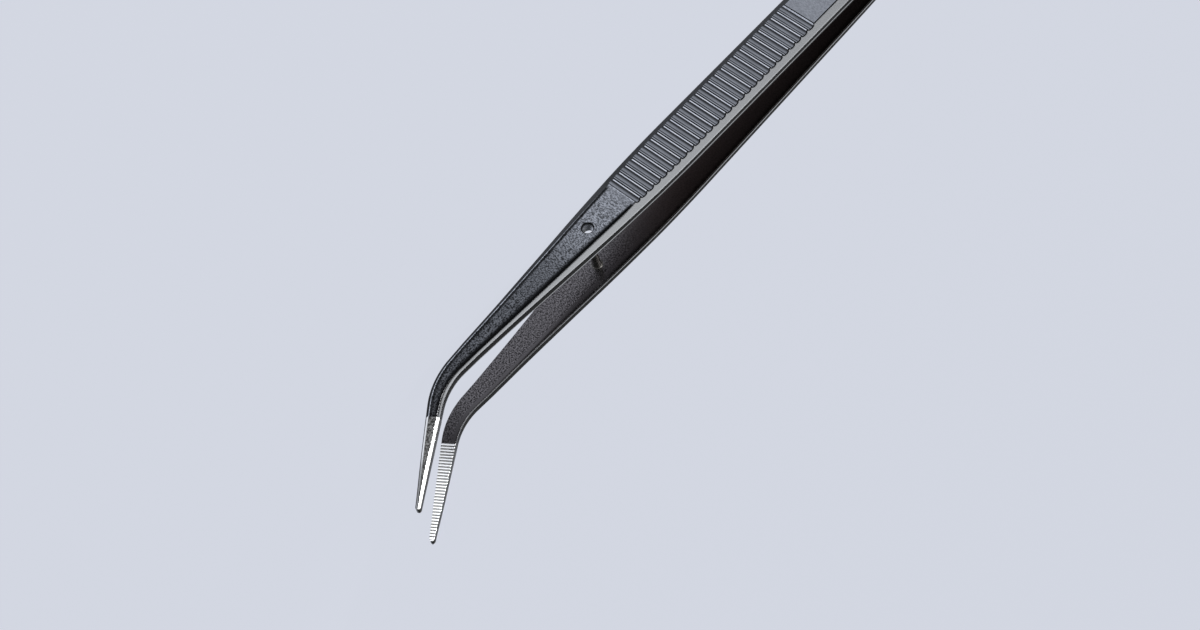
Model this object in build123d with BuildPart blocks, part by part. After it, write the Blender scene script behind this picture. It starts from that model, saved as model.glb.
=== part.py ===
"""Angled precision tweezers with transverse finger grooves, a guide pin and serrated tips.

The tweezers lie on the lower long edges of their two arms, with the bent tips pointing up.
+X runs from the welded rear end to the tips, and the arms open along Y: the arm with the
guide hole is at -Y and the arm with the guide pin is at +Y. Millimetres throughout.

Each arm is one strip of steel. It is divided where its leaf flexes, so that the front can
turn, and where its coating ends, so that the bare tip is a node of its own.
"""

import os
from collections import namedtuple
from math import atan, cos, degrees, radians, sin

from build123d import *

# ---------------------------------------------------------------- driving dimensions
OVERALL_LENGTH = 155.0
HALF_WIDTH = 4.2  # half the strip's width behind the taper
REAR_CORNER_RADIUS = 3.6

WELD_LENGTH = 11.0  # flat length over which the arms lie face to face
BOW_LENGTH = 16.0  # the leaves bow apart over this length
HINGE_FROM_REAR = 20.0  # where a leaf effectively turns when it is squeezed
KNUCKLE_CLEARANCE = 0.05

BEND_RADIUS = 12.4
BEND_ANGLE = radians(34.0)
TIP_LENGTH = 16.65  # straight length ahead of the bend
TIP_END_HALF_WIDTH = 0.18

ARM_SPREAD = 0.0341  # how far each arm leans out, per millimetre of length
SPREAD_FROM = 43.5
SPREAD_HALF_GAP = 2.22  # half the gap between the arms at SPREAD_FROM
GAP_PEAK = 131.0  # from here the arms close in again towards the tips
TIP_CLOSING = 0.013

GROOVE_COUNT = 28
GROOVE_PITCH = 1.53
GROOVE_DEPTH = 0.16
GROOVE_WALL_RUN = 0.14  # how far a groove's wall reaches along the strip
RIDGE_WIDTH = 0.22  # flat top left between two grooves
GROOVES_END = 96.95

HOLE_FROM_REAR = 104.6
HOLE_RADIUS = 0.95
HOLE_SINK_RADIUS = 1.2
HOLE_SINK_ANGLE = 90.0

PIN_LENGTH = 4.9
PIN_ROOT_RADIUS = 0.78
PIN_NOSE_RADIUS = 0.5
PIN_SHANK_RADIUS = 0.6
PIN_COLLAR_RADIUS = 1.0
PIN_COLLAR_HEIGHT = 0.12
RIVET_RECESS = 0.03

HOLE_ARM_BARE_FROM = 143.5  # an arm's coating ends here and its bare steel tip begins
PIN_ARM_BARE_FROM = 142.05
TOOTH_PITCH = 0.5
TOOTH_DEPTH = 0.12
TOOTH_HALF_WIDTH = 0.13
TOOTH_COUNT = 31
FIRST_TOOTH = 0.4  # from the end of the pin arm's coating
HOLE_ARM_TEETH_LEFT_OUT = 3  # they would be under its coating, which reaches further

WELD_RADIUS = 1.5
WELD_DEPTH = 0.5  # into each arm
WELD_SPACING = 4.6
WELDS_FROM_REAR = 6.0
DIMPLE_RADIUS = 1.8
DIMPLE_DEPTH = 0.1

CUT = 60.0  # longer than any section of the tweezers is wide

# ---------------------------------------------------------------- the strip's course
BEND_LENGTH = BEND_RADIUS * BEND_ANGLE
BEND_REACH = (BEND_RADIUS + TIP_END_HALF_WIDTH) * sin(BEND_ANGLE)
BEND_START = OVERALL_LENGTH - BEND_REACH - TIP_LENGTH * cos(BEND_ANGLE)
BEND_END = BEND_START + BEND_LENGTH
TIP_END = BEND_END + TIP_LENGTH
BOW_END = WELD_LENGTH + BOW_LENGTH
REAR_X = -OVERALL_LENGTH / 2

# Stations along the strip, from the rear end: half width, square edge height, and the
# width and height of the bevels on the outer face.
Station = namedtuple("Station", "along half_width edge bevel_width bevel_height")
LEAF = (HALF_WIDTH, 1.0, 1.1, 0.6)
GRIP = (HALF_WIDTH, 1.35, 1.1, 0.75)
STATIONS = [
    Station(0.0, *LEAF),
    Station(WELD_LENGTH, *LEAF),
    Station(14.0, *LEAF),
    Station(17.0, *LEAF),
    Station(HINGE_FROM_REAR, *LEAF),
    Station(23.5, *LEAF),
    Station(BOW_END, *LEAF),
    Station(45.0, *GRIP),
    Station(86.0, *GRIP),
    Station(93.0, 4.05, *GRIP[1:]),
    Station(GROOVES_END + 1.75, 3.76, *GRIP[1:]),
    Station(HOLE_FROM_REAR, 3.41, 1.35, 1.0, 0.7),
    Station(113.5, 2.75, 1.35, 0.8, 0.5),
    Station(123.5, 2.05, 1.35, 0.6, 0.37),
    Station(BEND_START, 1.47, 1.35, 0.5, 0.3),
    Station(BEND_START + BEND_LENGTH / 3, 1.37, 1.35, 0.52, 0.3),
    Station(BEND_START + BEND_LENGTH * 2 / 3, 1.27, 1.35, 0.54, 0.3),
    Station(BEND_END, 1.17, 1.35, 0.56, 0.3),
    Station(150.0, 0.78, 1.35, 0.58, 0.3),
    Station(TIP_END - 0.4, 0.38, 1.05, 0.32, 0.25),
    Station(TIP_END, TIP_END_HALF_WIDTH, 0.95, 0.12, 0.2),
]
HOLE_STATION = next(item for item in STATIONS if item.along == HOLE_FROM_REAR)
GRIP_THICKNESS = GRIP[1] + GRIP[3]
LEAF_THICKNESS = LEAF[1] + LEAF[3]


def spread(along):
    """Half the gap where the arms run straight."""
    return SPREAD_HALF_GAP + ARM_SPREAD * (along - SPREAD_FROM)


def half_gap(along):
    """Half the gap between the arms: zero at the weld, widest just ahead of the bend."""
    if along <= WELD_LENGTH:
        return 0.0
    if along < BOW_END:
        share = (along - WELD_LENGTH) / BOW_LENGTH
        rise = spread(BOW_END) * share**2 * (3 - 2 * share)
        return rise + ARM_SPREAD * BOW_LENGTH * share**2 * (share - 1)
    if along < GAP_PEAK:
        return spread(along)
    return spread(GAP_PEAK) - TIP_CLOSING * (along - GAP_PEAK)


def cross_plane(along, offset=0.0):
    """Cross plane of the strip: local x across its width, local y away from the other arm."""
    turned = min(max(along - BEND_START, 0.0), BEND_LENGTH) / BEND_RADIUS
    ahead = max(along - BEND_END, 0.0)
    x = min(along, BEND_START) + BEND_RADIUS * sin(turned) + ahead * cos(turned)
    z = BEND_RADIUS * (1 - cos(turned)) + ahead * sin(turned)
    return Plane(
        origin=(REAR_X + x, -offset, HALF_WIDTH + z),
        x_dir=(-sin(turned), 0, cos(turned)),
        z_dir=(cos(turned), 0, sin(turned)),
    )


# ---------------------------------------------------------------- one plain strip
with BuildPart() as strip:
    for station in STATIONS:
        inner = half_gap(station.along)
        edge_top = inner + station.edge
        outer = edge_top + station.bevel_height
        flat = station.half_width - station.bevel_width
        with BuildSketch(cross_plane(station.along)):
            with BuildLine():
                Polyline(
                    (-station.half_width, inner),
                    (station.half_width, inner),
                    (station.half_width, edge_top),
                    (flat, outer),
                    (-flat, outer),
                    (-station.half_width, edge_top),
                    close=True,
                )
            make_face()
    loft(ruled=True)

    # The rear end is rounded in plan.
    with BuildSketch(Plane.XZ) as plan:
        with Locations((0, HALF_WIDTH)):
            Rectangle(OVERALL_LENGTH, 2 * HALF_WIDTH)
        fillet(plan.vertices().group_by(Axis.X)[0], REAR_CORNER_RADIUS)
        with Locations((REAR_X + BOW_END, 0)):
            Rectangle(OVERALL_LENGTH, CUT, align=(Align.MIN, Align.CENTER))
    extrude(amount=CUT, both=True, mode=Mode.INTERSECT)

    # Finger grooves: shallow and flat-bottomed, with steep walls and narrow ridges between.
    mouth = GROOVE_PITCH - RIDGE_WIDTH
    floor = mouth - 2 * GROOVE_WALL_RUN
    with BuildSketch(Plane.XY):
        for index in range(GROOVE_COUNT):
            along = GROOVES_END - (index + 0.5) * GROOVE_PITCH
            out = spread(along) + GRIP_THICKNESS
            with Locations(Location((REAR_X + along, -out), degrees(-atan(ARM_SPREAD)))):
                Polygon(
                    (-mouth / 2 - GROOVE_WALL_RUN, -GROOVE_DEPTH),
                    (mouth / 2 + GROOVE_WALL_RUN, -GROOVE_DEPTH),
                    (floor / 2, GROOVE_DEPTH),
                    (-floor / 2, GROOVE_DEPTH),
                    align=None,
                )
    extrude(amount=CUT, both=True, mode=Mode.SUBTRACT)

    # Pockets for the weld nuggets, and the dimples that the welding electrodes leave.
    with BuildSketch(Plane.XZ):
        with Locations((REAR_X + WELDS_FROM_REAR, HALF_WIDTH)):
            with GridLocations(WELD_SPACING, 1, 2, 1):
                Circle(WELD_RADIUS)
    extrude(amount=WELD_DEPTH, mode=Mode.SUBTRACT)
    with BuildSketch(Plane.XZ.offset(LEAF_THICKNESS - DIMPLE_DEPTH)):
        with Locations((REAR_X + WELDS_FROM_REAR, HALF_WIDTH)):
            with GridLocations(WELD_SPACING, 1, 2, 1):
                Circle(DIMPLE_RADIUS)
    extrude(amount=DIMPLE_DEPTH, mode=Mode.SUBTRACT)

# ---------------------------------------------------------------- the two whole arms

def tooth_cutters(left_out):
    """Cutters for the fine teeth across the inner face of the bare tip at -Y."""
    start = cross_plane(PIN_ARM_BARE_FROM, half_gap(PIN_ARM_BARE_FROM)).origin
    end = cross_plane(TIP_END, half_gap(TIP_END)).origin
    inner_line = Plane(origin=start, x_dir=end - start, z_dir=cross_plane(TIP_END).x_dir)
    with BuildPart() as cutters:
        with BuildSketch(inner_line):
            for index in range(left_out, TOOTH_COUNT):
                with Locations((FIRST_TOOTH + index * TOOTH_PITCH, 0)):
                    Polygon(
                        (-TOOTH_HALF_WIDTH, 0),
                        (0, -TOOTH_DEPTH),
                        (TOOTH_HALF_WIDTH, 0),
                        (0, TOOTH_DEPTH),
                        align=None,
                    )
        extrude(amount=CUT, both=True)
    return cutters.part


lean = atan(ARM_SPREAD)
hole_depth = HOLE_STATION.edge + HOLE_STATION.bevel_height
hole_gap = half_gap(HOLE_FROM_REAR)
hole_outlet = Plane(
    origin=(REAR_X + HOLE_FROM_REAR, -hole_gap - hole_depth, HALF_WIDTH),
    x_dir=(0, 0, 1),
    z_dir=(-sin(lean), -cos(lean), 0),
)
with BuildPart() as hole_strip:
    add(strip.part)
    with Locations(hole_outlet):
        CounterSinkHole(HOLE_RADIUS, HOLE_SINK_RADIUS, 2 * hole_depth, HOLE_SINK_ANGLE)
    add(tooth_cutters(HOLE_ARM_TEETH_LEFT_OUT), mode=Mode.SUBTRACT)

# Section plane through the pin: local x is its radius, local y its axis towards the hole.
pin_plane = Plane(
    origin=(REAR_X + HOLE_FROM_REAR, hole_gap, HALF_WIDTH),
    x_dir=(0, 0, 1),
    z_dir=(cos(lean), sin(lean), 0),
)
pin_seat = Plane(
    origin=pin_plane.origin,
    x_dir=(0, 0, 1),
    z_dir=(sin(lean), -cos(lean), 0),
)
with BuildPart() as pin_strip:
    add(mirror(strip.part, about=Plane.XZ))
    with Locations(pin_seat):
        Hole(PIN_SHANK_RADIUS, 2 * hole_depth)
    add(mirror(tooth_cutters(0), about=Plane.XZ), mode=Mode.SUBTRACT)

# ---------------------------------------------------------------- zones of the flexing leaf
knuckle_radius = LEAF_THICKNESS / 2
hinge_x = REAR_X + HINGE_FROM_REAR
hinge_y = half_gap(HINGE_FROM_REAR) + knuckle_radius


def rear_zone(end_radius):
    """Everything behind the flexing line, with round ends about both arms' hinge axes."""
    with BuildPart() as zone:
        with BuildSketch(Plane.XY):
            with Locations((hinge_x, 0)):
                Rectangle(CUT, CUT, align=(Align.MAX, Align.CENTER))
            with Locations((hinge_x, -hinge_y), (hinge_x, hinge_y)):
                Circle(end_radius)
        extrude(amount=CUT, both=True)
    return zone.part


tail_zone = rear_zone(knuckle_radius)
turning_zone = rear_zone(knuckle_radius + KNUCKLE_CLEARANCE)
hole_arm_coating_end = cross_plane(HOLE_ARM_BARE_FROM)
pin_arm_coating_end = cross_plane(PIN_ARM_BARE_FROM)

# ---------------------------------------------------------------- arm with the guide hole
with BuildPart() as hole_arm_tail:
    add(hole_strip.part)
    add(tail_zone, mode=Mode.INTERSECT)

with BuildPart() as hole_arm:
    add(hole_strip.part)
    add(turning_zone, mode=Mode.SUBTRACT)
    split(bisect_by=hole_arm_coating_end, keep=Keep.BOTTOM)

with BuildPart() as hole_arm_tip:
    add(hole_strip.part)
    split(bisect_by=hole_arm_coating_end, keep=Keep.TOP)

# ---------------------------------------------------------------- arm with the guide pin
with BuildPart() as pin_arm_tail:
    add(pin_strip.part)
    add(tail_zone, mode=Mode.INTERSECT)

with BuildPart() as pin_arm:
    add(pin_strip.part)
    add(turning_zone, mode=Mode.SUBTRACT)
    split(bisect_by=pin_arm_coating_end, keep=Keep.BOTTOM)

with BuildPart() as pin_arm_tip:
    add(pin_strip.part)
    split(bisect_by=pin_arm_coating_end, keep=Keep.TOP)

# ---------------------------------------------------------------- guide pin, riveted in
with BuildPart() as guide_pin:
    nose_base = PIN_LENGTH - PIN_NOSE_RADIUS
    nose_mid = PIN_NOSE_RADIUS * cos(radians(45.0))
    with BuildSketch(pin_plane):
        with BuildLine():
            Polyline(
                (0, PIN_LENGTH),
                (0, RIVET_RECESS - hole_depth),
                (PIN_SHANK_RADIUS, RIVET_RECESS - hole_depth),
                (PIN_SHANK_RADIUS, 0),
                (PIN_COLLAR_RADIUS, 0),
                (PIN_COLLAR_RADIUS, PIN_COLLAR_HEIGHT),
                (PIN_ROOT_RADIUS, PIN_COLLAR_HEIGHT),
                (PIN_NOSE_RADIUS, nose_base),
            )
            ThreePointArc(
                (PIN_NOSE_RADIUS, nose_base), (nose_mid, nose_base + nose_mid), (0, PIN_LENGTH)
            )
        make_face()
    revolve(axis=Axis(pin_plane.origin, pin_seat.z_dir))

# ---------------------------------------------------------------- spot-weld nuggets
with BuildPart() as spot_welds:
    with BuildSketch(Plane.XZ):
        with Locations((REAR_X + WELDS_FROM_REAR, HALF_WIDTH)):
            with GridLocations(WELD_SPACING, 1, 2, 1):
                Circle(WELD_RADIUS)
    extrude(amount=WELD_DEPTH, both=True)

# ---------------------------------------------------------------- labels and files
hole_arm_tail.part.label = "hole_arm_tail"
hole_arm.part.label = "hole_arm"
hole_arm_tip.part.label = "hole_arm_tip"
pin_arm_tail.part.label = "pin_arm_tail"
pin_arm.part.label = "pin_arm"
pin_arm_tip.part.label = "pin_arm_tip"
guide_pin.part.label = "guide_pin"
spot_welds.part.label = "spot_welds"

os.makedirs("parts", exist_ok=True)
export_step(hole_arm_tail.part, "parts/hole_arm_tail.step")
export_step(hole_arm.part, "parts/hole_arm.step")
export_step(hole_arm_tip.part, "parts/hole_arm_tip.step")
export_step(pin_arm_tail.part, "parts/pin_arm_tail.step")
export_step(pin_arm.part, "parts/pin_arm.step")
export_step(pin_arm_tip.part, "parts/pin_arm_tip.step")
export_step(guide_pin.part, "parts/guide_pin.step")
export_step(spot_welds.part, "parts/spot_welds.step")

print("hinge axes at x", round(hinge_x, 3), "and y plus or minus", round(hinge_y, 3))
print("arms lean out by", round(degrees(lean), 3), "degrees")
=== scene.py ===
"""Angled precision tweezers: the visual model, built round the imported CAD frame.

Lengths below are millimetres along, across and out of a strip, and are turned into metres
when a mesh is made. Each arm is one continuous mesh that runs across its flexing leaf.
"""

from math import cos, pi, radians, sin

import bmesh
import bpy
import numpy as np
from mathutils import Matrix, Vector


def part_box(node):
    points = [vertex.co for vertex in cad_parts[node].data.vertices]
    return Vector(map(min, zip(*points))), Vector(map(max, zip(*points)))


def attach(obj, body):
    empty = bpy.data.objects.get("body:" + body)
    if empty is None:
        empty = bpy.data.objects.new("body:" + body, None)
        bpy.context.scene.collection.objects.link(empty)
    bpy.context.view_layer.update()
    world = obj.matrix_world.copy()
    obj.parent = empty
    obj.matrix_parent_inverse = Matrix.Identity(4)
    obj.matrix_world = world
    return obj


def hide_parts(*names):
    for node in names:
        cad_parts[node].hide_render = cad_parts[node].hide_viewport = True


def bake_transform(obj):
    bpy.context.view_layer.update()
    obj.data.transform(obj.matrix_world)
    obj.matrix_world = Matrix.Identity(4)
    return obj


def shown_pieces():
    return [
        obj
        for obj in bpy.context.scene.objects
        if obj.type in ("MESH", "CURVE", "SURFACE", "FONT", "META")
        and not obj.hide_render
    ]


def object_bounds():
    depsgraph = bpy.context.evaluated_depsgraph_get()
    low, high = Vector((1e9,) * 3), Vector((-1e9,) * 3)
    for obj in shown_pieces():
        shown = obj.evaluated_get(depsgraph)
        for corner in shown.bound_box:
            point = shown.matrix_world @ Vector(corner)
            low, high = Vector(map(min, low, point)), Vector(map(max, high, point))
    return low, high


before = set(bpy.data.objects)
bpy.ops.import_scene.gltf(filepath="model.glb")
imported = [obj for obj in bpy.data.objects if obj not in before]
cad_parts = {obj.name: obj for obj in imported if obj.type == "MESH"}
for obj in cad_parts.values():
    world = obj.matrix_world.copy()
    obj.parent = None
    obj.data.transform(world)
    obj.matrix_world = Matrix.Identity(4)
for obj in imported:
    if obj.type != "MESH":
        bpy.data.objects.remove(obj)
cad_low, cad_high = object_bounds()

# ---------------------------------------------------------------- sizes taken from the frame
MM = 0.001
REAR_X = cad_low.x / MM
LENGTH = (cad_high.x - cad_low.x) / MM
tail_low, tail_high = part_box("hole_arm_tail")
HALF_WIDTH = (tail_high.z - tail_low.z) / MM / 2
pin_low, pin_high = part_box("guide_pin")
PIN_RADIUS = (pin_high.z - pin_low.z) / MM / 2

# ---------------------------------------------------------------- the strip's course
WELD_LENGTH = 11.0  # the arms lie against each other over this length
BOW_LENGTH = 16.0  # and part in a bow over this one
BOW_END = WELD_LENGTH + BOW_LENGTH
BEND_RADIUS = 12.4
BEND_ANGLE = radians(34.0)
BEND_LENGTH = BEND_RADIUS * BEND_ANGLE
TIP_LENGTH = 16.65
TIP_END_HALF_WIDTH = 0.18  # of the CAD tip, whose lower corner reaches furthest ahead
BEND_REACH = (BEND_RADIUS + TIP_END_HALF_WIDTH) * sin(BEND_ANGLE)
BEND_START = LENGTH - BEND_REACH - TIP_LENGTH * cos(BEND_ANGLE)
BEND_END = BEND_START + BEND_LENGTH
TIP_END = BEND_END + TIP_LENGTH
ARM_SPREAD = 0.0341  # how far an arm moves out for each millimetre ahead
SPREAD_FROM = 43.5  # where half the gap is SPREAD_HALF_GAP
SPREAD_HALF_GAP = 2.22
GAP_PEAK = 131.0
TIP_CLOSING = 0.013  # taken off half the gap for each millimetre ahead of the peak

REAR_CORNER_RADIUS = 3.6
TIP_ROUND = 0.55  # length over which a tip is rounded off
TIP_BLUNT = 0.25  # share of its width that is left at the very end

GROOVE_PITCH = 1.53
GROOVE_DEPTH = 0.16
GROOVES_START = 54.11
GROOVES_END = 96.75
SECOND_RIDGE = 55.84
RIDGES = np.array([
    GROOVES_START,
    *np.arange(SECOND_RIDGE, GROOVES_END - GROOVE_PITCH / 2, GROOVE_PITCH),
    GROOVES_END,
])
RIDGE_HALF_TOP = 0.08  # half the flat that is left between two grooves

HOLE_FROM_REAR = 104.6
HOLE_RADIUS = 0.95  # of the CAD hole; the drill's profile below is a little narrower
SHANK_RADIUS = 0.6
PIN_LENGTH = 4.9
NOSE_RADIUS = 0.5
ROOT_RADIUS = 0.78
ROOT_FILLET = 0.2
ROOT_COLLAR = 0.04

BARE_FROM = {-1: 143.5, 1: 142.05}  # the hole arm is side -1, the pin arm side 1
TOOTH_PITCH = 0.5
TOOTH_DEPTH = 0.12
TOOTH_HALF_WIDTH = 0.13
TOOTH_COUNT = 31
FIRST_TOOTH = BARE_FROM[1] + 0.4

WELDS_FROM_REAR = 6.0  # to the middle between the two welds
WELD_SPACING = 4.6
DIMPLE_RADIUS = 1.8
DIMPLE_DEPTH = 0.1

# along, half width, square edge height, bevel width, bevel height
STATIONS = np.array([
    (0.0, 4.2, 1.0, 1.1, 0.6),
    (BOW_END, 4.2, 1.0, 1.1, 0.6),
    (45.0, 4.2, 1.35, 1.1, 0.75),
    (86.0, 4.2, 1.35, 1.1, 0.75),
    (93.0, 4.05, 1.35, 1.1, 0.75),
    (98.7, 3.76, 1.35, 1.1, 0.75),
    (104.6, 3.41, 1.35, 1.0, 0.7),
    (113.5, 2.75, 1.35, 0.8, 0.5),
    (123.5, 2.05, 1.35, 0.6, 0.37),
    (BEND_START, 1.47, 1.35, 0.5, 0.3),
    (BEND_END, 1.17, 1.35, 0.5, 0.3),
    (148.4, 0.85, 1.35, 0.36, 0.3),
    (151.6, 0.7, 1.35, 0.46, 0.3),
    (TIP_END - 0.4, 0.38, 1.05, 0.34, 0.25),
    (TIP_END, 0.36, 0.95, 0.3, 0.2),
])
EASE = np.linspace(-2.5, 2.5, 9)  # stations are blended over this reach, so no kink shows
WIDTH, EDGE, BEVEL_WIDTH, BEVEL_HEIGHT = 1, 2, 3, 4  # columns of the stations


def eased(along, column):
    """A station column at a distance along the strip, with its corners rounded off."""
    spots = np.clip(along + EASE, 0.0, TIP_END)
    return float(np.interp(spots, STATIONS[:, 0], STATIONS[:, column]).mean())


def half_gap(along):
    """Half the gap between the arms, as the CAD strip has it."""
    if along <= WELD_LENGTH:
        return 0.0
    if along < BOW_END:
        share = (along - WELD_LENGTH) / BOW_LENGTH
        rise = SPREAD_HALF_GAP + ARM_SPREAD * (BOW_END - SPREAD_FROM)
        lean = ARM_SPREAD * BOW_LENGTH
        return rise * share**2 * (3 - 2 * share) + lean * share**2 * (share - 1)
    spread = SPREAD_HALF_GAP + ARM_SPREAD * (min(along, GAP_PEAK) - SPREAD_FROM)
    return spread - TIP_CLOSING * max(along - GAP_PEAK, 0.0)


def centre(along):
    """Point on the strip's middle line in the XZ plane, and how far the strip has turned."""
    turned = min(max(along - BEND_START, 0.0), BEND_LENGTH) / BEND_RADIUS
    ahead = max(along - BEND_END, 0.0)
    x = REAR_X + min(along, BEND_START) + BEND_RADIUS * sin(turned) + ahead * cos(turned)
    z = HALF_WIDTH + BEND_RADIUS * (1 - cos(turned)) + ahead * sin(turned)
    return x, z, turned


def strip_place(points):
    """Along and across the strip, worked back from points in the shared frame."""
    x = points[:, 0] / MM - REAR_X - BEND_START
    z = points[:, 2] / MM - HALF_WIDTH
    turned = np.clip(np.arctan2(x, BEND_RADIUS - z), 0.0, BEND_ANGLE)
    along = BEND_START + BEND_RADIUS * turned
    mid_x = BEND_RADIUS * np.sin(turned)
    mid_z = BEND_RADIUS * (1 - np.cos(turned))
    ahead = (x - mid_x) * np.cos(turned) + (z - mid_z) * np.sin(turned)
    across = (z - mid_z) * np.cos(turned) - (x - mid_x) * np.sin(turned)
    return along + ahead, across


def groove_depth(along):
    """Depth of the finger grooves at a distance along the strip."""
    if not GROOVES_START < along < GROOVES_END:
        return 0.0
    index = np.searchsorted(RIDGES, along)
    first, second = RIDGES[index - 1], RIDGES[index]
    reach = (second - first) / 2 - RIDGE_HALF_TOP
    share = abs(along - (first + second) / 2) / reach
    return GROOVE_DEPTH * max(1 - share**2, 0.0) ** 0.5


def tooth_depth(along, start):
    """Depth of the cuts between the gripping teeth, on a tip whose bare metal begins at start."""
    count = (along - FIRST_TOOTH) / TOOTH_PITCH
    nearest = round(count)
    if nearest >= TOOTH_COUNT or FIRST_TOOTH + nearest * TOOTH_PITCH < start:
        return 0.0
    away = abs(count - nearest) * TOOTH_PITCH
    return TOOTH_DEPTH * max(0.0, 1 - away / TOOTH_HALF_WIDTH)


def dimple_depth(along, across):
    """Depth of the marks that the welding electrodes leave at the rear end."""
    deepest = 0.0
    for side in (-0.5, 0.5):
        away = np.hypot(along - WELDS_FROM_REAR - side * WELD_SPACING, across)
        deepest = max(deepest, DIMPLE_DEPTH * (1 - min(away / DIMPLE_RADIUS, 1.0) ** 4))
    return deepest


# ---------------------------------------------------------------- rings of the strip
ARC_POINTS = 5
FLAT_POINTS = (10, 2, 3, 12, 3, 2)  # inner face, side, bevel, outer face, bevel, side
SMALLEST_FLAT = 0.05  # half the outer face's width where the bevels nearly meet
MOST_CUT = 0.42  # share of a side that the rounding of one of its corners may take
TOOTH_REACH = 0.03  # the rounded corners of the inner face take part in the teeth up to here
FACE_SLACK = 1e-4  # points this close to the outer face lie on it
COARSE_STEP, MIDDLE_STEP, FINE_STEP = 0.8, 0.6, 0.3  # between rings
END_GAP = 0.01  # rings keep this far from a stretch's ends
TOOTH_GAP = 0.05  # and those of the teeth this far from its start
TURNED_SEGMENTS = 64
SHARP_ANGLE = radians(32.0)


def section(along):
    """Corners of the strip's cross section, from the lower one of the inner face round.

    Each is a distance across the strip and a distance out from the middle plane.
    """
    wide = eased(along, WIDTH)
    if along < REAR_CORNER_RADIUS:
        back = REAR_CORNER_RADIUS - along
        wide += (REAR_CORNER_RADIUS**2 - back**2) ** 0.5 - REAR_CORNER_RADIUS
    if along > TIP_END - TIP_ROUND:
        back = (along - TIP_END + TIP_ROUND) / TIP_ROUND
        wide *= max(1 - back**2, 0.0) ** 0.5 * (1 - TIP_BLUNT) + TIP_BLUNT
    bevel_width = min(eased(along, BEVEL_WIDTH), wide - SMALLEST_FLAT)
    bevel_height = eased(along, BEVEL_HEIGHT)
    depth = groove_depth(along)
    flat = wide - bevel_width * (1 - depth / bevel_height)
    inner = half_gap(along)
    top = inner + eased(along, EDGE)
    outer = top + bevel_height - depth
    return np.array([
        (-wide, inner), (wide, inner), (wide, top),
        (flat, outer), (-flat, outer), (-wide, top),
    ])


def corner_radii(along, bare):
    """How far each corner of the section is rounded: a coated arm more than a bare tip.

    The upper edge of the outer face is much softer ahead of the finger grooves.
    """
    if bare:
        return (0.03, 0.03, 0.04, 0.04, 0.04, 0.04)
    spots = (GROOVES_END, GROOVES_END + 2.5, BEND_START, BEND_END)
    upper = np.interp(along, spots, (0.08, 1.3, 1.0, 0.3))
    return (0.08, 0.11, 0.08, upper, 0.1, 0.08)


def ring(along, from_along):
    """Points round the strip at one distance along it, for a stretch that begins at another."""
    bare = from_along > 0
    corners = section(along)
    radii = corner_radii(along, bare)
    rounded = []
    for index, corner in enumerate(corners):
        before = corners[index - 1] - corner
        after = corners[(index + 1) % len(corners)] - corner
        reach_before, reach_after = np.linalg.norm(before), np.linalg.norm(after)
        before, after = before / reach_before, after / reach_after
        half_angle = np.arccos(np.clip(before @ after, -1, 1)) / 2
        shorter = min(MOST_CUT * reach_before, MOST_CUT * reach_after)
        cut = min(radii[index] / np.tan(half_angle), shorter)
        radius = cut * np.tan(half_angle)
        inward = (before + after) / np.linalg.norm(before + after)
        middle = corner + inward * radius / np.sin(half_angle)
        start, end = corner + before * cut - middle, corner + after * cut - middle
        sweep = pi - 2 * half_angle
        for share in np.linspace(0, 1, ARC_POINTS):
            weights = sin((1 - share) * sweep), sin(share * sweep)
            rounded.append(middle + (start * weights[0] + end * weights[1]) / sin(sweep))
    points = []
    for index, count in enumerate(FLAT_POINTS):
        arc = rounded[index * ARC_POINTS:(index + 1) * ARC_POINTS]
        following = rounded[(index + 1) * ARC_POINTS % len(rounded)]
        points.extend(arc)
        spread = np.linspace(0, 1, count + 2)[1:-1]
        points.extend(arc[-1] + (following - arc[-1]) * share for share in spread)
    points = np.array(points)
    if bare:
        on_inner = points[:, 1] < corners[0][1] + TOOTH_REACH
        points[on_inner, 1] += tooth_depth(along, from_along)
    if along < WELD_LENGTH:
        on_outer = points[:, 1] > corners[3][1] - FACE_SLACK
        points[on_outer, 1] -= [dimple_depth(along, across) for across in points[on_outer, 0]]
    return points


def ring_places(start, end):
    """Distances along the strip at which rings are made, closer where there is more shape."""
    across_groove = np.sin(np.linspace(-pi / 2, pi / 2, 17))
    grooves = [
        (first + second) / 2 + across_groove * ((second - first) / 2 - RIDGE_HALF_TOP)
        for first, second in zip(RIDGES[:-1], RIDGES[1:])
    ]
    tooth = np.array([
        -TOOTH_PITCH / 2, -TOOTH_HALF_WIDTH, -TOOTH_HALF_WIDTH / 2,
        0, TOOTH_HALF_WIDTH / 2, TOOTH_HALF_WIDTH,
    ])
    teeth = (FIRST_TOOTH + TOOTH_PITCH * np.arange(TOOTH_COUNT)[:, None] + tooth).ravel()
    runs = [
        REAR_CORNER_RADIUS * (1 - np.cos(np.linspace(0, pi / 2, 16))),
        np.arange(REAR_CORNER_RADIUS, WELD_LENGTH + 1, FINE_STEP),
        np.arange(WELD_LENGTH + 1, GROOVES_START - 0.5, COARSE_STEP),
        *grooves,
        RIDGES,
        np.arange(GROOVES_END + MIDDLE_STEP, BEND_START, MIDDLE_STEP),
        teeth[teeth > start + TOOTH_GAP],
        TIP_END - TIP_ROUND * (1 - np.sin(np.linspace(0, pi / 2, 10))),
    ]
    if start < BEND_START:
        runs.append(np.arange(BEND_START, end, FINE_STEP))
    places = np.unique(np.round(np.concatenate(runs), 4))
    places = places[(places > start + END_GAP) & (places < end - END_GAP)]
    return np.concatenate([[start], places, [end]])


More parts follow.
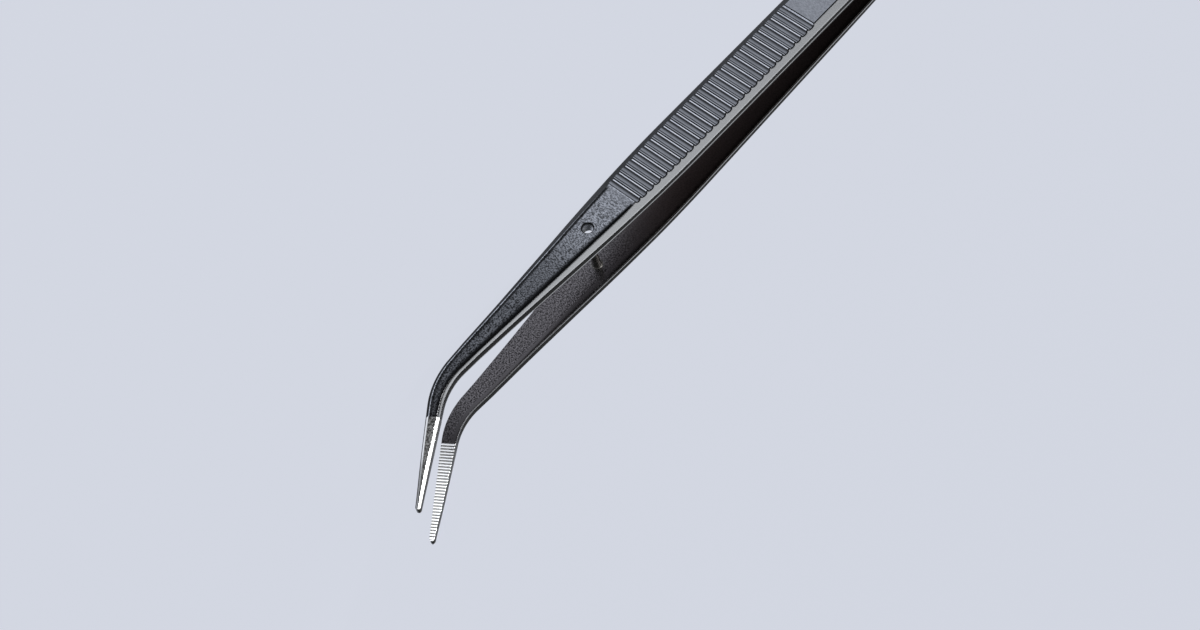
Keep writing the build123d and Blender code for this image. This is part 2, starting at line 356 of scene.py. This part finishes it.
def ringed_piece(name, vertices, count):
    """A closed piece from rings of so many points each, joined in order and capped at the ends."""
    faces = []
    last = len(vertices) - count
    for row in range(0, last, count):
        for column in range(count):
            a, b = row + column, row + (column + 1) % count
            faces.append((a, b, b + count, a + count))
    faces.append(tuple(range(count)))
    faces.append(tuple(range(last, last + count)))
    mesh = bpy.data.meshes.new(name)
    mesh.from_pydata(vertices, [], faces)
    tidy_mesh(mesh)
    piece = bpy.data.objects.new(name, mesh)
    bpy.context.scene.collection.objects.link(piece)
    return piece


def strip_mesh(name, side, start, end):
    """A closed mesh of one stretch of an arm. Side is -1 for the hole arm, 1 for the pin arm."""
    vertices = []
    places = ring_places(start, end)
    for along in places:
        x, z, turned = centre(along)
        for across, out in ring(along, start):
            vertices.append((
                (x - across * sin(turned)) * MM,
                side * out * MM,
                (z + across * cos(turned)) * MM,
            ))
    return ringed_piece(name, vertices, len(vertices) // len(places))


def tidy_mesh(mesh):
    """Outward faces, smooth shading, and hard shading only where faces meet sharply."""
    working = bmesh.new()
    working.from_mesh(mesh)
    bmesh.ops.recalc_face_normals(working, faces=working.faces)
    for face in working.faces:
        face.smooth = True
    for edge in working.edges:
        edge.smooth = edge.calc_face_angle(pi) < SHARP_ANGLE
    working.to_mesh(mesh)
    working.free()


def lathe(name, profile, origin, axis):
    """A closed turned shape: profile rows are radius and distance along the axis."""
    turn = Vector(axis).normalized().to_track_quat("Z", "Y")
    vertices = []
    for radius, height in profile:
        for index in range(TURNED_SEGMENTS):
            angle = 2 * pi * index / TURNED_SEGMENTS
            spot = Vector((radius * cos(angle), radius * sin(angle), height)) * MM
            vertices.append(Vector(origin) * MM + turn @ spot)
    return ringed_piece(name, vertices, TURNED_SEGMENTS)


def drill(piece, profile, origin, axis):
    """Cuts a turned shape out of a piece, and takes the cutter away again."""
    cutter = lathe("cutter", profile, origin, axis)
    cut = piece.modifiers.new("drill", "BOOLEAN")
    cut.operation = "DIFFERENCE"
    cut.solver = "EXACT"
    cut.object = cutter
    seen = piece.evaluated_get(bpy.context.evaluated_depsgraph_get())
    result = bpy.data.meshes.new_from_object(seen)
    piece.modifiers.clear()
    piece.data = result
    tidy_mesh(result)
    bpy.data.objects.remove(cutter)


def mark_surface(piece):
    """Stores, for the materials, where each point lies on the strip and on its section.

    "strip" holds the distances along, across and up from the inner face. "rim" holds how far
    a point is inside the lower and outside the upper edge of the outer face, and how far it
    is above the lower edge of the bevels.
    """
    mesh = piece.data
    points = np.array([vertex.co for vertex in mesh.vertices])
    along, across = strip_place(points)
    along = np.clip(along, 0.0, TIP_END)
    out = np.abs(points[:, 1]) / MM
    keys, inverse = np.unique(np.round(along, 3), return_inverse=True)
    rows = []
    for key in keys:
        corners = section(key)
        rows.append((corners[3][0], corners[2][1], half_gap(key)))
    flat, top, gap = np.array(rows)[inverse.ravel()].T
    for name, columns in (
        ("strip", (along, across, out - gap)),
        ("rim", (across + flat, across - flat, out - top)),
    ):
        stored = mesh.attributes.new(name, "FLOAT_VECTOR", "POINT")
        stored.data.foreach_set("vector", np.stack(columns, 1).ravel())


# ---------------------------------------------------------------- materials
def new_material(name):
    """A material with its node tree, shader and a short way to add nodes."""
    material = bpy.data.materials.new(name)
    material.use_nodes = True
    tree = material.node_tree
    shader = tree.nodes["Principled BSDF"]

    def node(kind, values=None, **settings):
        made = tree.nodes.new(kind)
        for key, value in settings.items():
            setattr(made, key, value)
        for socket, value in (values or {}).items():
            if isinstance(value, bpy.types.NodeSocket):
                tree.links.new(value, made.inputs[socket])
            else:
                made.inputs[socket].default_value = value
        return made

    return material, tree, shader, node


def math(node, operation, first, second=0.0):
    """One arithmetic node."""
    return node("ShaderNodeMath", {0: first, 1: second}, operation=operation).outputs[0]


def both(node, *masks):
    """Where every mask holds."""
    held = masks[0]
    for mask in masks[1:]:
        held = math(node, "MULTIPLY", held, mask)
    return held


def either(node, *masks):
    """Where any mask holds."""
    held = masks[0]
    for mask in masks[1:]:
        held = math(node, "MAXIMUM", held, mask)
    return held


def outside(node, mask):
    """Where a mask doesn't hold."""
    return math(node, "SUBTRACT", 1.0, mask)


def offset(node, value, start):
    """How far a value is past a start."""
    return math(node, "SUBTRACT", value, start)


def parts_of(node, name):
    """The three numbers of a stored vector attribute."""
    vector = node("ShaderNodeAttribute", attribute_name=name).outputs["Vector"]
    return node("ShaderNodeSeparateXYZ", {0: vector}).outputs


def step(node, value, start, end, low=0.0, high=1.0):
    """Rises smoothly from low to high while the value goes from start to end."""
    values = {"Value": value, "From Min": start, "From Max": end, "To Min": low, "To Max": high}
    return node("ShaderNodeMapRange", values, interpolation_type="SMOOTHSTEP").outputs[0]


def line(node, value, centre, half_width, soft):
    """A soft-edged line: 1 where the value is near the centre, 0 away from it."""
    away = math(node, "ABSOLUTE", math(node, "SUBTRACT", value, centre))
    return step(node, away, half_width, half_width + soft, 1.0, 0.0)


def curve(node, value, *stops):
    """A number that follows (value, result) stops, in straight lines."""
    low, high = stops[0][0], stops[-1][0]
    values = {"Value": value, "From Min": low, "From Max": high}
    share = node("ShaderNodeMapRange", values).outputs[0]
    made = node("ShaderNodeValToRGB", {"Fac": share})
    elements = made.color_ramp.elements
    while len(elements) < len(stops):
        elements.new(0.5)
    for element, (spot, result) in zip(elements, stops):
        element.position = (spot - low) / (high - low)
        element.color = (float(result), float(result), float(result), 1)
    return made.outputs["Color"]


def blend(node, factor, first, second):
    """Goes from the first number to the second as the factor goes from 0 to 1."""
    return node("ShaderNodeMix", {0: factor, 2: first, 3: second}, data_type="FLOAT").outputs[0]


def noise(node, scale, detail=2.0, roughness=0.5):
    """Noise on the strip's own coordinates, with a scale per millimetre for each direction."""
    place = node("ShaderNodeAttribute", attribute_name="strip").outputs["Vector"]
    stretched = node("ShaderNodeVectorMath", {0: place, 1: scale}, operation="MULTIPLY").outputs[0]
    values = {"Vector": stretched, "Scale": 1.0, "Detail": detail, "Roughness": roughness}
    return node("ShaderNodeTexNoise", values).outputs["Fac"]


def tinted(node, tone, tint):
    """A colour from a tone and a tint."""
    return node("ShaderNodeVectorMath", {0: tint, "Scale": tone}, operation="SCALE").outputs[0]


def roughen(node, tree, shader, strength, distance, relief):
    """Gives the shader the bump of a relief, whose full height is a distance in metres."""
    values = {"Strength": strength, "Distance": distance, "Height": relief}
    bump = node("ShaderNodeBump", values)
    tree.links.new(bump.outputs["Normal"], shader.inputs["Normal"])


COAT_TINT = (0.97, 1.0, 1.05)
WARM_TINT = (1.18, 0.97, 0.93)
STEEL_TINT = (1.0, 1.0, 0.985)
TURNED_TINT = (1.0, 0.96, 0.9)
COAT_METALLIC, TIP_METALLIC = 0.92, 0.9
GRAIN_HEIGHT, TURNED_HEIGHT = 0.00005, 0.00003  # in metres
FINE_SCALE, BROAD_SCALE = 4000.0, 900.0  # of the turned metal's noise, per metre
PAINTED_SHADE_LINE, PAINTED_HIGHLIGHT_LINE = 0.02, 0.8  # tones of most painted shade lines and of the painted highlight lines

# Tones of the arms' inner faces by their distance from the rear end. The pin arm's stops are
# painted shade: darkest at the rear, where the hole arm shades it, and dark again by the bare
# tips.
HOLE_SIDE_INNER = ((0, 0.3), (97, 0.26), (112, 0.2), (142, 0.15), (160, 0.15))
PIN_SIDE_INNER = (
    (0, 0.04), (85, 0.05), (97, 0.085), (106, 0.135),
    (120, 0.125), (134, 0.11), (141, 0.045), (160, 0.045),
)


def coat_grain(node, along):
    """Height of the coating's grain: streaks across the strip by the hole, pebbles ahead."""
    streaks = noise(node, (6.0, 2.9, 6.0), 2.0, 0.6)
    pebbles = noise(node, (4.4, 4.0, 4.4), 2.0, 0.6)
    return blend(node, step(node, along, 112.0, 122.0), streaks, pebbles)


def ridge_painted_light(node, along):
    """Tone across the finger grooves: a painted highlight along each ridge's crest and painted
    shade at its foot each side.
    """
    from_start = offset(node, along, SECOND_RIDGE - GROOVE_PITCH / 2)
    cycle = math(node, "FLOORED_MODULO", from_start, GROOVE_PITCH)
    return curve(
        node, offset(node, cycle, GROOVE_PITCH / 2),
        (-0.765, 0.32), (-0.72, 0.24), (-0.66, 0.04), (-0.56, 0.04), (-0.5, 0.42), (-0.42, 0.5),
        (-0.36, 0.08), (-0.32, 0.01), (-0.11, 0.01), (-0.07, 1.0), (0.06, 1.0), (0.11, 0.08),
        (0.17, 0.03), (0.3, 0.05), (0.4, 0.13), (0.5, 0.23), (0.62, 0.31), (0.765, 0.32),
    )


def coating_material(inner_stops):
    """Charcoal coating on steel: a dim, grainy mirror, with painted highlights on its ridges and
    edges and painted shade lines beside them.

    The stops give the tone of the inner face by its distance from the rear end.
    """
    material, tree, shader, node = new_material("charcoal_coating")
    along, across, height = parts_of(node, "strip")
    from_lower, past_upper, above_top = parts_of(node, "rim")
    outer = step(node, above_top, 0.0, 0.04)
    inside_lower = step(node, from_lower, -0.03, 0.03)
    inside_upper = step(node, past_upper, 0.03, -0.03)
    on_face = both(node, inside_lower, inside_upper, outer)
    on_bevel = both(node, outer, outside(node, on_face))
    upper_half = step(node, across, -0.1, 0.1)
    lower_half = step(node, across, 0.1, -0.1)
    ahead = step(node, along, GROOVES_END, GROOVES_END + 0.8)

    # How much light each part of the surface gives back, by its distance from the rear end.
    face = curve(
        node, along, (0, 0.38), (97, 0.34), (105, 0.29), (112, 0.155), (120, 0.125),
        (130, 0.11), (137, 0.08), (142, 0.05), (160, 0.05),
    )
    # Painted shade: the inner face is darkened toward its upper edge, where the other arm blocks
    # its reflections.
    inner_shade_start = curve(node, along, (88, -1.7), (104, -0.2), (120, -0.5), (130, -0.1), (160, 0.2))
    inner_painted_shade = step(node, offset(node, past_upper, inner_shade_start), 0.0, 1.1, 1.0, 0.3)
    inner = both(node, curve(node, along, *inner_stops), inner_painted_shade)
    side = blend(node, upper_half, 0.05, 0.02)
    # Painted shade: the lower bevel, which faces the floor, is near black, while the upper bevel
    # keeps a paler tone.
    upper_bevel = curve(node, along, (0, 0.11), (97, 0.113), (105, 0.124), (160, 0.148))
    bevel = blend(node, upper_half, 0.003, upper_bevel)
    tone = blend(node, step(node, height, 0.0, 0.06), inner, side)
    tone = blend(node, outer, tone, bevel)
    tone = blend(node, on_face, tone, face)

    # The first and the last ridge each get a painted highlight line, the first with a painted
    # shade line behind it.
    after_first = step(node, along, GROOVES_START + 0.22, GROOVES_START + 0.26)
    before_last = step(node, along, GROOVES_END - 0.1, GROOVES_END - 0.2)
    grooved = both(node, after_first, before_last, on_face)
    tone = blend(node, grooved, tone, ridge_painted_light(node, along))
    first = line(node, along, GROOVES_START + 0.14, 0.03, 0.04)
    last = math(node, "MULTIPLY", line(node, along, GROOVES_END - 0.03, 0.05, 0.08), 0.45)
    behind = line(node, along, GROOVES_START - 0.02, 0.07, 0.05)
    tone = blend(node, both(node, behind, on_face), tone, 0.01)
    tone = blend(node, both(node, either(node, first, last), on_face), tone, PAINTED_HIGHLIGHT_LINE)

    # Upper edge of the face: painted shade, a crisp dark line on the grip that widens into a soft
    # band ahead.
    reach = curve(node, along, (GROOVES_END, 0.3), (104, 0.7), (120, 0.75), (160, 0.3))
    faded = math(node, "DIVIDE", math(node, "ADD", past_upper, 0.2), reach)
    band_end = curve(node, along, (97.5, 0.22), (105, 0.22), (120, 0.3), (160, 0.3))
    in_band = step(node, offset(node, past_upper, band_end), 0.0, -0.2)
    shade = both(node, step(node, faded, -1.0, 0.0), in_band, outer, ahead)
    crisp = both(node, line(node, past_upper, -0.06, 0.08, 0.06), outer, outside(node, ahead))
    tone = blend(node, either(node, shade, crisp), tone, 0.008)

    # Lower edge: painted shade on both sides of a painted highlight line.
    pale_place = curve(node, along, (98, -0.3), (104, -0.16), (120, -0.02), (160, 0.0))
    from_pale = offset(node, from_lower, pale_place)
    below = both(node, step(node, from_pale, 0.62, 0.34), outer, ahead, lower_half)
    tone = blend(node, below, tone, PAINTED_SHADE_LINE)
    edge = both(node, line(node, from_lower, 0.02, 0.06, 0.06), outer)
    tone = blend(node, edge, tone, PAINTED_SHADE_LINE)
    painted_highlight_strength = curve(node, along, (98, 0.05), (104, 0.25), (113, 0.6), (160, 0.6))
    painted_highlight_line = both(node, line(node, from_pale, 0.0, 0.035, 0.06), outer, painted_highlight_strength)
    tone = blend(node, painted_highlight_line, tone, PAINTED_HIGHLIGHT_LINE)

    # Upper side: painted shade by the inner corner, then a painted highlight line, and a painted
    # shade line and a faint painted highlight where the bevel begins. The rear end is left plain.
    on_side = both(
        node, upper_half, outside(node, outer), step(node, height, 0.02, 0.05),
        step(node, along, 3.0, 8.0),
    )
    pale_height = curve(node, along, (0, 0.5), (95, 0.45), (106, 0.3), (120, 0.14), (160, 0.1))
    from_line = offset(node, height, pale_height)
    tone = blend(node, both(node, step(node, from_line, -0.1, -0.2), on_side), tone, 0.015)
    tone = blend(node, both(node, line(node, from_line, 0.0, 0.08, 0.07), on_side), tone, 0.95)
    under = both(node, line(node, above_top, -0.22, 0.08, 0.1), on_side)
    tone = blend(node, under, tone, PAINTED_SHADE_LINE)
    dim_line = both(node, line(node, above_top, 0.03, 0.04, 0.05), upper_half)
    tone = blend(node, dim_line, tone, 0.15)

    # The wall of the hole has painted light, brighter further in, and a painted shade ring round
    # its mouth.
    from_hole = {0: offset(node, along, HOLE_FROM_REAR), 1: across}
    place = node("ShaderNodeCombineXYZ", from_hole).outputs[0]
    from_axis = node("ShaderNodeVectorMath", {0: place}, operation="LENGTH").outputs["Value"]
    mouth = both(node, line(node, from_axis, HOLE_RADIUS - 0.01, 0.08, 0.05), outer)
    tone = blend(node, mouth, tone, 0.004)
    in_hole = step(node, from_axis, HOLE_RADIUS - 0.05, HOLE_RADIUS - 0.07)
    tone = blend(node, in_hole, tone, step(node, height, 1.3, 1.9, 0.7, 0.1))

    # The grain mottles the faces, and hardly shows on edges, in the grooves and in the hole.
    grain = coat_grain(node, along)
    above_inner = step(node, height, 0.0, 0.05)
    on_edges = either(node, on_bevel, both(node, above_inner, outside(node, outer)))
    corner = both(node, line(node, past_upper, 0.1, 0.25, 0.15), ahead)
    plain = either(node, on_edges, grooved, in_hole, corner)
    depth = curve(node, along, (0, 0.1), (54, 0.25), (96, 0.3), (99, 1.0), (160, 1.0))
    dark = curve(node, along, (99, 0.35), (112, 0.22), (160, 0.1))
    pale = curve(node, along, (99, 1.65), (112, 1.8), (160, 2.0))
    mottle = step(node, grain, 0.37, 0.63, dark, pale)
    mottle = blend(node, both(node, depth, outside(node, plain)), 1.0, mottle)
    striae = step(node, noise(node, (9.0, 0.35, 9.0), 2.0, 0.6), 0.3, 0.7, 0.8, 1.2)
    tone = both(node, tone, mottle, blend(node, grooved, 1.0, striae))
    warm = both(node, step(node, height, 0.06, 0.0), step(node, along, 104, 84, 0.4, 1.0))
    tints = {0: warm, 4: COAT_TINT, 5: WARM_TINT}
    tint = node("ShaderNodeMix", tints, data_type="VECTOR").outputs[1]
    tree.links.new(tinted(node, tone, tint), shader.inputs["Base Color"])
    shader.inputs["Metallic"].default_value = COAT_METALLIC

    face_rough = curve(node, along, (0, 0.28), (96, 0.28), (104, 0.18), (160, 0.18))
    rough = blend(node, in_hole, blend(node, on_edges, face_rough, 0.3), 0.5)
    tree.links.new(rough, shader.inputs["Roughness"])
    flatter = step(node, height, 0.0, 0.06, 0.6, 1.0)
    strength = blend(node, plain, both(node, depth, flatter), 0.06)
    roughen(node, tree, shader, strength, GRAIN_HEIGHT, grain)
    return material


def tip_material():
    """Bare steel: bright ground bevels and teeth, a blasted grey outer face, dark sides."""
    material, tree, shader, node = new_material("bare_tip_steel")
    along, across, height = parts_of(node, "strip")
    from_lower, past_upper, above_top = parts_of(node, "rim")
    outer = step(node, above_top, 0.0, 0.04)
    inside_lower = step(node, from_lower, -0.02, 0.02)
    inside_upper = step(node, past_upper, 0.02, -0.02)
    on_face = both(node, inside_lower, inside_upper, outer)
    side = both(node, outside(node, outer), step(node, height, 0.05, 0.12))
    inner = step(node, height, 0.14, 0.12)
    lower_half = step(node, across, 0.1, -0.1)
    brushed = noise(node, (12.0, 1.5, 12.0), 3.0, 0.6)
    grain = noise(node, (3.2, 3.2, 3.2), 2.0, 0.6)

    tone = step(node, brushed, 0.3, 0.7, 0.86, 0.98)
    # The lower bevel's tone along the tip is painted light: bright by the bend, painted shade
    # toward the end.
    lower_bevel = curve(
        node, along, (143, 0.95), (149.5, 0.9), (152, 0.4), (156, 0.3), (160, 0.6)
    )
    tone = blend(node, both(node, lower_half, outer), tone, lower_bevel)
    tone = blend(node, on_face, tone, step(node, grain, 0.38, 0.62, 0.015, 0.1))
    tone = blend(node, side, tone, step(node, grain, 0.3, 0.7, 0.08, 0.16))

    # Painted shade: a thin dark line, broken up here and there, at the bottom of each cut between
    # teeth.
    from_start = offset(node, along, FIRST_TOOTH - TOOTH_PITCH / 2)
    phase = math(node, "FLOORED_MODULO", from_start, TOOTH_PITCH)
    patchy = step(node, noise(node, (1.2, 2.5, 1.2), 2.0, 0.6), 0.35, 0.6, 0.35, 0.9)
    teeth_painted_shade = both(node, line(node, phase, TOOTH_PITCH / 2, 0.02, 0.06), inner, patchy)
    tone = blend(node, teeth_painted_shade, tone, 0.08)

    # Painted shade: a dark line where the lower bevel begins.
    from_side, to_bevel = step(node, above_top, -0.12, -0.06), step(node, above_top, 0.13, 0.08)
    tone = blend(node, both(node, from_side, to_bevel, lower_half), tone, 0.04)
    tree.links.new(tinted(node, tone, STEEL_TINT), shader.inputs["Base Color"])
    shader.inputs["Metallic"].default_value = TIP_METALLIC

    rough = blend(node, inner, step(node, brushed, 0.3, 0.7, 0.22, 0.34), 0.3)
    rough = blend(node, on_face, rough, 0.45)
    tree.links.new(rough, shader.inputs["Roughness"])
    strength, relief = blend(node, on_face, 0.1, 0.8), blend(node, on_face, brushed, grain)
    roughen(node, tree, shader, strength, GRAIN_HEIGHT, relief)
    return material


def turned_material(name, dark, light, metallic, roughness):
    """Turned or welded metal with a little unevenness of tone and surface."""
    material, tree, shader, node = new_material(name)
    place = node("ShaderNodeTexCoord").outputs["Object"]
    fine_values = {"Vector": place, "Scale": FINE_SCALE, "Detail": 3.0}
    fine = node("ShaderNodeTexNoise", fine_values).outputs["Fac"]
    broad_values = {"Vector": place, "Scale": BROAD_SCALE, "Detail": 2.0}
    broad = node("ShaderNodeTexNoise", broad_values).outputs["Fac"]
    tone = step(node, fine, 0.3, 0.7, dark, light)
    rough = step(node, broad, 0.3, 0.7, roughness - 0.08, roughness + 0.08)
    tree.links.new(tinted(node, tone, TURNED_TINT), shader.inputs["Base Color"])
    tree.links.new(rough, shader.inputs["Roughness"])
    roughen(node, tree, shader, 0.4, TURNED_HEIGHT, fine)
    shader.inputs["Metallic"].default_value = metallic
    return material


# ---------------------------------------------------------------- the pieces
coatings = {"hole": coating_material(HOLE_SIDE_INNER), "pin": coating_material(PIN_SIDE_INNER)}
tip_steel = tip_material()
pin_finish = turned_material("pin_finish", 0.03, 0.34, 0.8, 0.34)
weld_steel = turned_material("weld_steel", 0.35, 0.55, 1.0, 0.45)

hole_x = REAR_X + HOLE_FROM_REAR
hole_gap = half_gap(HOLE_FROM_REAR)
thickness = eased(HOLE_FROM_REAR, EDGE) + eased(HOLE_FROM_REAR, BEVEL_HEIGHT)
lean = np.arctan(ARM_SPREAD)


def dress(piece, material):
    """Gives a piece one material, in place of any it has."""
    piece.data.materials.clear()
    piece.data.materials.append(material)


def drill_profile(radius, *rows):
    """Profile of a drill, from its changes of radius and heights over the arm's outer face."""
    return [(radius + change, height) for change, height in rows]


hole_arm = strip_mesh("hole_arm_body", -1, 0.0, BARE_FROM[-1])
sink = drill_profile(
    HOLE_RADIUS,
    (-0.08, -2.6), (-0.08, -0.16), (-0.06, -0.1), (0.02, 0.01), (0.04, 0.03), (0.04, 0.6),
)
outlet = (hole_x, -hole_gap - thickness, HALF_WIDTH)
drill(hole_arm, sink, outlet, (-sin(lean), -cos(lean), 0))

pin_arm = strip_mesh("pin_arm_body", 1, 0.0, BARE_FROM[1])
rivet_seat = drill_profile(SHANK_RADIUS, (0.012, -0.6), (0.012, -0.05), (0.06, 0.02), (0.06, 0.4))
rivet_outlet = (hole_x, hole_gap + thickness, HALF_WIDTH)
drill(pin_arm, rivet_seat, rivet_outlet, (-sin(lean), cos(lean), 0))

hole_tip = strip_mesh("hole_arm_bare_tip", -1, BARE_FROM[-1], TIP_END)
pin_tip = strip_mesh("pin_arm_bare_tip", 1, BARE_FROM[1], TIP_END)

for arm, tip, side in ((hole_arm, hole_tip, "hole"), (pin_arm, pin_tip, "pin")):
    mark_surface(arm)
    mark_surface(tip)
    dress(arm, coatings[side])
    dress(tip, tip_steel)
    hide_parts(f"{side}_arm_tail", f"{side}_arm")
    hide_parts(f"{side}_arm_tip")
    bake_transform(arm)
    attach(tip, f"{side}_side")

# Guide pin: a riveted shank, then a tapered peg with a rounded nose, which meets the arm in a
# small collar and fillet. Its profile starts at the rivet and has the arm's inner face at 0.
rivet = [
    (0.02, 0.06 - thickness),
    (SHANK_RADIUS - 0.05, 0.05 - thickness),
    (SHANK_RADIUS, 0.1 - thickness),
    (SHANK_RADIUS, -0.02),
    (PIN_RADIUS, 0.0),
]
fillet = [
    (ROOT_RADIUS + ROOT_FILLET * (1 - sin(angle)), ROOT_COLLAR + ROOT_FILLET * (1 - cos(angle)))
    for angle in np.linspace(0.1, pi / 2, 6)
]
nose = [
    (NOSE_RADIUS * cos(angle), PIN_LENGTH - NOSE_RADIUS * (1 - sin(angle)))
    for angle in np.linspace(0.06, pi / 2 - 0.03, 9)
]
pin_place = (hole_x, hole_gap, HALF_WIDTH)
pin = lathe("guide_pin_turned", rivet + fillet + nose, pin_place, (sin(lean), -cos(lean), 0))
dress(pin, pin_finish)
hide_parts("guide_pin")
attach(pin, "pin_side")

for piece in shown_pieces():
    if piece.name.startswith("spot_welds"):
        dress(piece, weld_steel)

# ---------------------------------------------------------------- floor, light and camera
FLOOR_REACH = 6.0  # in metres, like the snoots' distance and the camera's place
FLOOR_GLOW = (0.651, 0.680, 0.760, 1)
FLOOR_GLOW_STRENGTH = 0.985
FLOOR_SHADING = (0.03, 0.03, 0.033, 1)
TIP_MIDDLE = 152.0  # in millimetres along the strip
SNOOT_DISTANCE = 0.5
SNOOT_ANGLE = radians(2.4)
SNOOT_SOFTNESS = 0.6
WORLD_COLOUR = (0.9, 0.95, 1.0, 1)
WORLD_STRENGTH = 0.05
CAMERA_PLACE = (0.150146, -0.332617, 0.171339)
CAMERA_TURN = (radians(-51.964), radians(-48.165), radians(168.837))
CAMERA_LENS = 76.657
CAMERA_SENSOR = 36.0
CAMERA_NEAR = 0.01


def floor():
    """A plain pale floor that carries its own even tone, with a trace of shading."""
    material, _, shader, _ = new_material("pale_floor")
    shader.inputs["Base Color"].default_value = FLOOR_SHADING
    shader.inputs["Roughness"].default_value = 1.0
    shader.inputs["Specular IOR Level"].default_value = 0.0
    shader.inputs["Emission Color"].default_value = FLOOR_GLOW
    shader.inputs["Emission Strength"].default_value = FLOOR_GLOW_STRENGTH
    corners = [
        (side * FLOOR_REACH, end * FLOOR_REACH, 0)
        for side, end in ((-1, -1), (1, -1), (1, 1), (-1, 1))
    ]
    mesh = bpy.data.meshes.new("floor")
    mesh.from_pydata(corners, [], [(0, 1, 2, 3)])
    mesh.materials.append(material)
    plane = bpy.data.objects.new("floor", mesh)
    bpy.context.scene.collection.objects.link(plane)


def lamp(light, aim, toward, distance):
    """Places a light at a distance in a direction from the spot it is aimed at."""
    placed = bpy.data.objects.new(light.name, light)
    placed.location = aim + Vector(toward).normalized() * distance
    placed.rotation_euler = Vector(toward).to_track_quat("Z", "Y").to_euler()
    bpy.context.scene.collection.objects.link(placed)


def area_light(name, toward, distance, size, radiance):
    """A soft box that faces the middle of the tweezers."""
    light = bpy.data.lights.new(name, "AREA")
    light.shape = "RECTANGLE"
    light.size, light.size_y = size
    light.energy = radiance * pi * size[0] * size[1]
    lamp(light, (cad_low + cad_high) / 2, toward, distance)


def tip_snoot(name, toward, energy, size):
    """A narrow spot that reaches only the bare tips."""
    light = bpy.data.lights.new(name, "SPOT")
    light.energy = energy
    light.shadow_soft_size = size
    light.spot_size = SNOOT_ANGLE
    light.spot_blend = SNOOT_SOFTNESS
    x, z, _ = centre(TIP_MIDDLE)
    lamp(light, Vector((x * MM, 0, z * MM)), toward, SNOOT_DISTANCE)


floor()
area_light("key", (-0.30, -0.69, 0.66), 0.7, (0.5, 0.32), 4.4)
area_light("back_fill", (-0.30, 0.86, 0.41), 0.8, (0.6, 0.4), 0.35)
tip_snoot("teeth_snoot", (-0.50, -0.85, 0.10), 30.0, 0.006)
tip_snoot("bevel_snoot", (-0.774, -0.556, 0.300), 0.5, 0.012)
world = bpy.data.worlds.new("studio")
world.use_nodes = True
background = world.node_tree.nodes["Background"]
background.inputs["Color"].default_value = WORLD_COLOUR
background.inputs["Strength"].default_value = WORLD_STRENGTH
bpy.context.scene.world = world

camera_data = bpy.data.cameras.new("camera")
camera_data.lens = CAMERA_LENS
camera_data.sensor_width = CAMERA_SENSOR
camera_data.clip_start = CAMERA_NEAR
camera = bpy.data.objects.new("camera", camera_data)
camera.location = CAMERA_PLACE
camera.rotation_euler = CAMERA_TURN
bpy.context.scene.collection.objects.link(camera)
bpy.context.scene.camera = camera
bpy.context.scene.view_settings.view_transform = "Standard"

bpy.context.view_layer.update()
